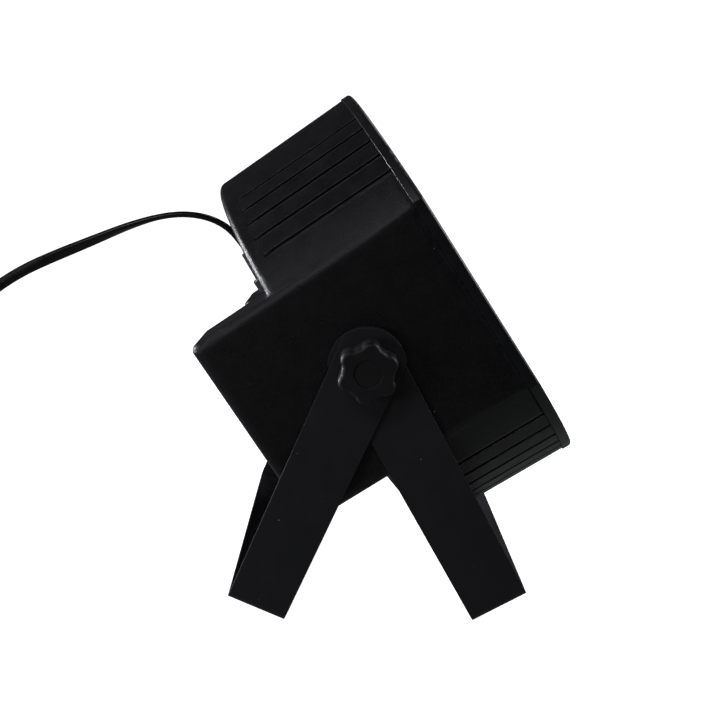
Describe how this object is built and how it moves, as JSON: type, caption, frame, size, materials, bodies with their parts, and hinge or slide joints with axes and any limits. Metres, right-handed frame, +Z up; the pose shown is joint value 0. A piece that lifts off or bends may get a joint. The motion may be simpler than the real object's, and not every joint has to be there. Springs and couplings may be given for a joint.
{
  "type": "par can light",
  "caption": "Flat stage par light: round flat-sided housing with a rear box, standing on a double clamp bracket with side knobs, with a coiled mains cord.",
  "frame": {"origin": "middle of the lamp's footprint, on the floor that the brackets stand on, leaving out the cord and plug", "axes": "+Z up, +X level towards the side that the beam points to, +Y along the tilt pivot"},
  "size_m": [0.3653, 0.2108, 0.216],
  "materials": {
    "housing_plastic": "fine-grained moulded black plastic",
    "bezel_plastic": "satin moulded black plastic",
    "panel_plastic": "matte black plastic",
    "knob_plastic": "matte black plastic",
    "button_plastic": "satin dark plastic",
    "bracket_steel": "black powder coat",
    "plain_steel": "zinc plated",
    "screw_steel": "black oxide",
    "insert_brass": "turned",
    "contact_metal": "plated contacts",
    "blade_brass": "plated blades",
    "pad_rubber": "soft black rubber",
    "lens_acrylic": "clear acrylic",
    "window_acrylic": "smoked acrylic",
    "sink_aluminium": "extruded",
    "board": "green solder mask",
    "led_board_white": "white solder mask",
    "led_package": "silicone over phosphor",
    "component_black": "moulded component",
    "capacitor_sleeve": "shrink sleeve",
    "transformer_wrap": "tape-wrapped winding",
    "display_plastic": "display module",
    "socket_plastic": "black nylon",
    "gland_nylon": "black nylon",
    "cord_pvc": "black flexible PVC",
    "plug_pvc": "black moulded PVC",
    "tie_plastic": "black tie"
  },
  "bodies": {
    "housing": {"rear_housing": "housing_plastic", "front_bezel": "bezel_plastic", "lens_panel": "panel_plastic", "led_lenses": "lens_acrylic", "led_board": "led_board_white", "led_emitters": "led_package", "heat_sink": "sink_aluminium", "panel_posts": "plain_steel", "bezel_screws": "screw_steel", "sink_screws": "plain_steel", "control_board": "board", "display_module": "display_plastic", "display_window": "window_acrylic", "button_switches": "component_black", "microphone": "plain_steel", "power_supply_board": "board", "transformer": "transformer_wrap", "capacitors": "capacitor_sleeve", "supply_posts": "plain_steel", "dmx_in_socket": "socket_plastic", "dmx_in_pins": "contact_metal", "dmx_out_socket": "socket_plastic", "dmx_out_insert": "socket_plastic", "socket_screws": "screw_steel", "pivot_inserts": "insert_brass", "friction_pads": "pad_rubber", "cable_gland": "gland_nylon", "gland_nut": "gland_nylon", "power_cord": "cord_pvc", "power_cord_coil": "cord_pvc", "cord_tie": "tie_plastic", "power_cord_tail": "cord_pvc", "power_plug": "plug_pvc", "plug_blades": "blade_brass"},
    "outer_bracket": {"outer_bracket": "bracket_steel"},
    "inner_bracket": {"inner_bracket": "bracket_steel"},
    "near_clamp": {"near_knob": "knob_plastic", "near_stud": "plain_steel", "near_washer": "plain_steel"},
    "far_clamp": {"far_knob": "knob_plastic", "far_stud": "plain_steel", "far_washer": "plain_steel"},
    "menu_button": {"menu_button": "button_plastic"},
    "down_button": {"down_button": "button_plastic"},
    "up_button": {"up_button": "button_plastic"},
    "enter_button": {"enter_button": "button_plastic"},
    "release_tab": {"release_tab": "plain_steel"}
  },
  "joints": [
    {"name": "outer_bracket_tilt", "type": "hinge", "parent": "housing", "child": "outer_bracket", "pos_m": [-0.01386, 0, 0.10697], "axis": [0, 1, 0], "range_deg": [-14, 60]},
    {"name": "inner_bracket_tilt", "type": "hinge", "parent": "housing", "child": "inner_bracket", "pos_m": [-0.01386, 0, 0.10697], "axis": [0, 1, 0], "range_deg": [-110, 14]},
    {"name": "near_knob_turn", "type": "hinge", "parent": "housing", "child": "near_clamp", "pos_m": [-0.01386, 0, 0.10697], "axis": [0, -1, 0], "range_deg": [0, 360]},
    {"name": "far_knob_turn", "type": "hinge", "parent": "housing", "child": "far_clamp", "pos_m": [-0.01386, 0, 0.10697], "axis": [0, 1, 0], "range_deg": [0, 360]},
    {"name": "menu_button_press", "type": "slide", "parent": "housing", "child": "menu_button", "axis": [0.8271, 0, 0.5621], "range_m": [0, 0.0008], "stiffness_N_per_m": 600},
    {"name": "down_button_press", "type": "slide", "parent": "housing", "child": "down_button", "axis": [0.8271, 0, 0.5621], "range_m": [0, 0.0008], "stiffness_N_per_m": 600},
    {"name": "up_button_press", "type": "slide", "parent": "housing", "child": "up_button", "axis": [0.8271, 0, 0.5621], "range_m": [0, 0.0008], "stiffness_N_per_m": 600},
    {"name": "enter_button_press", "type": "slide", "parent": "housing", "child": "enter_button", "axis": [0.8271, 0, 0.5621], "range_m": [0, 0.0008], "stiffness_N_per_m": 600},
    {"name": "release_tab_press", "type": "slide", "parent": "housing", "child": "release_tab", "axis": [0.8271, 0, 0.5621], "range_m": [0, 0.0012], "stiffness_N_per_m": 800}
  ]
}
